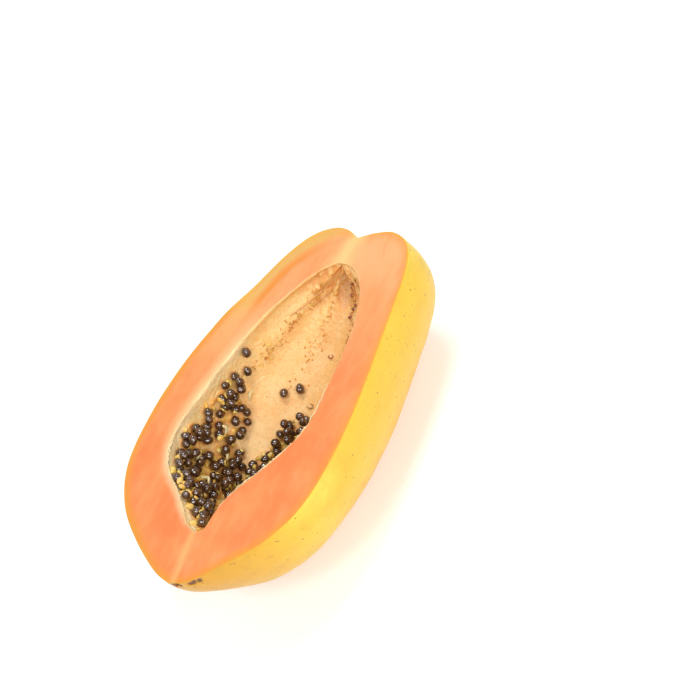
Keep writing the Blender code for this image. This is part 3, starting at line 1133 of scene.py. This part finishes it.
def seed_finish():
    """Near-black brown seeds in a thin wet jacket."""
    seed = Finish(
        "seed_coat", Roughness=0.45, Coat_Weight=1.0, Coat_Roughness=0.03, Coat_IOR=1.95,
        Specular_IOR_Level=0.15,
    )
    info = seed.node("ShaderNodeObjectInfo", output="Random")
    cloud = seed.grain(0.0028, 3.0)
    seed.colour(seed.mix(cloud.rising(0.40, 0.66), paint(60, 30, 8), paint(100, 56, 20)))
    seed.over(info * 0.35, paint(78, 50, 22))
    seed.over(seed.grain(0.0009, 3.0).rising(0.54, 0.74) * 0.35, paint(146, 90, 40))
    ridges = seed.bump(seed.cells(0.0011), 0.00025, 0.8)
    seed.normal(seed.bump(seed.grain(0.0006, 3.0), 0.0001, 0.5, ridges))
    return seed.made


def pulp_finish(name, first, second, dark):
    """Soft translucent pulp."""
    pulp = Finish(
        name, Roughness=0.32, Coat_Weight=0.4, Coat_Roughness=0.15,
        Subsurface_Weight=0.35,
        Subsurface_Radius=(1.0, 0.6, 0.2),
        Subsurface_Scale=0.0015,
    )
    cloud = pulp.grain(0.0022, 3.0)
    pulp.colour(pulp.mix(cloud.rising(0.36, 0.66), paint(*first), paint(*second)))
    pulp.over(pulp.grain(0.0045, 2.0).rising(0.5, 0.75) * 0.6, paint(*dark))
    pulp.normal(pulp.bump(cloud, 0.0004, 0.7))
    return pulp.made


# ---------------- camera, floor and light

AIM = Vector((0.0471, 0.1578, 0.0))
AZIMUTH, ELEVATION, ROLL = -27.9, 44.3, -42.8
DISTANCE = 1.0934
LENS = 100
# The studio's white walls and its dimmer ceiling.
WALL_LIGHT = 0.92
CEILING_LIGHT = 0.36


def look(towards, roll):
    """The turn of something at the origin that looks along -Z, so that it looks towards."""
    return towards.to_track_quat("-Z", "Y").to_matrix().to_4x4() @ Matrix.Rotation(roll, 4, "Z")


def from_angles(azimuth, elevation):
    azimuth, elevation = math.radians(azimuth), math.radians(elevation)
    flat = math.cos(elevation)
    return Vector((flat * math.cos(azimuth), flat * math.sin(azimuth), math.sin(elevation)))


def make_camera():
    lens = bpy.data.cameras.new("camera")
    lens.lens = LENS
    lens.clip_end = 20
    camera = link(bpy.data.objects.new("camera", lens))
    out = from_angles(AZIMUTH, ELEVATION)
    place = AIM + Vector(HALF_OFFSET) + out * DISTANCE
    camera.matrix_world = Matrix.Translation(place) @ look(-out, math.radians(ROLL))
    bpy.context.scene.camera = camera


def make_floor():
    mesh = bpy.data.meshes.new("floor")
    bm = bmesh.new()
    bmesh.ops.create_grid(bm, x_segments=2, y_segments=2, size=4.0)
    bm.to_mesh(mesh)
    bm.free()
    floor = link(bpy.data.objects.new("floor", mesh))
    floor.location.z = -0.0002
    white = (0.90, 0.90, 0.90, 1)
    plain = Finish("floor_white", Roughness=0.6, Base_Color=white, Emission_Color=(1, 1, 1, 1), Emission_Strength=0.26)
    mesh.materials.append(plain.made)


def make_light(name, azimuth, elevation, distance, size, power):
    """A round lamp that faces the origin, with its power in watts."""
    lamp = bpy.data.lights.new(name, "AREA")
    lamp.shape = "DISK"
    lamp.size = size
    lamp.energy = power
    made = link(bpy.data.objects.new(name, lamp))
    out = from_angles(azimuth, elevation)
    made.matrix_world = Matrix.Translation(out * distance) @ look(-out, 0)


def make_lights():
    make_light("key", 70, 70, 1.5, 0.50, 8.5)
    make_light("second_key", -62, 60, 1.3, 0.30, 3.4)
    make_light("front", -20, 37, 1.7, 1.0, 13.5)
    make_light("back", 165, 40, 1.8, 1.3, 3.0)
    studio = Nodes(bpy.data.worlds.new("studio"), "Background")
    studio.feed(studio.shader.inputs["Color"], (1, 1, 1, 1))
    direction = studio.node("ShaderNodeTexCoord", output="Generated")
    height = studio.node("ShaderNodeSeparateXYZ", {}, [direction], output="Z")
    dimming = height.rising(0.05, 0.45) * (WALL_LIGHT - CEILING_LIGHT)
    studio.feed(studio.shader.inputs["Strength"], WALL_LIGHT - dimming)
    scene = bpy.context.scene
    scene.world = studio.made
    scene.view_settings.view_transform = "Standard"


half_mesh, HALF_OFFSET = make_half()
LINING = BVHTree.FromPolygons(
    [vertex.co - Vector(HALF_OFFSET) for vertex in half_mesh.vertices],
    [tuple(face.vertices) for face in half_mesh.polygons],
)
for finish_made in (skin_finish(), flesh_finish(), hollow_finish()):
    half_mesh.materials.append(finish_made)
half = link(bpy.data.objects.new("papaya_half_fine", half_mesh))
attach(half, "root")
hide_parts("papaya_half")

seed_centres = make_seeds(seed_finish())
gold_pulp = pulp_finish("gold_pulp", (254, 200, 84), (255, 226, 132), (244, 156, 48))
stump_orange = pulp_finish("stump_orange", (236, 166, 66), (250, 192, 92), (208, 128, 40))
stump_rust = pulp_finish("stump_rust", (216, 136, 62), (234, 164, 86), (176, 98, 44))
pale_pulp = pulp_finish("pale_pulp", (255, 232, 160), (255, 240, 190), (250, 204, 110))
cream_skin = pulp_finish("torn_membrane", (254, 218, 162), (255, 230, 186), (250, 196, 126))
arch_orange = pulp_finish("arch_orange", (232, 160, 84), (244, 186, 112), (206, 124, 52))
brown_pulp = pulp_finish("brown_pulp", (170, 104, 50), (206, 142, 76), (120, 66, 30))
dark_crumb = pulp_finish("dark_crumb", (142, 62, 28), (178, 92, 44), (96, 38, 18))
make_pulp(seed_centres, gold_pulp)
make_strands(gold_pulp, brown_pulp)
make_arch(arch_orange, stump_orange)
make_crescents(pale_pulp)
make_lumps(stump_orange, stump_rust, brown_pulp, dark_crumb, cream_skin)
strand("torn_edge_right", on_rim(1, 0.047, 0.134, 34, 0.55), 0.38 * MM, cream_skin)
strand("torn_edge_left", on_rim(-1, 0.038, 0.090, 24, 1.1), 0.5 * MM, cream_skin)

mark_seats(half_mesh, seed_centres)

make_camera()
make_floor()
make_lights()
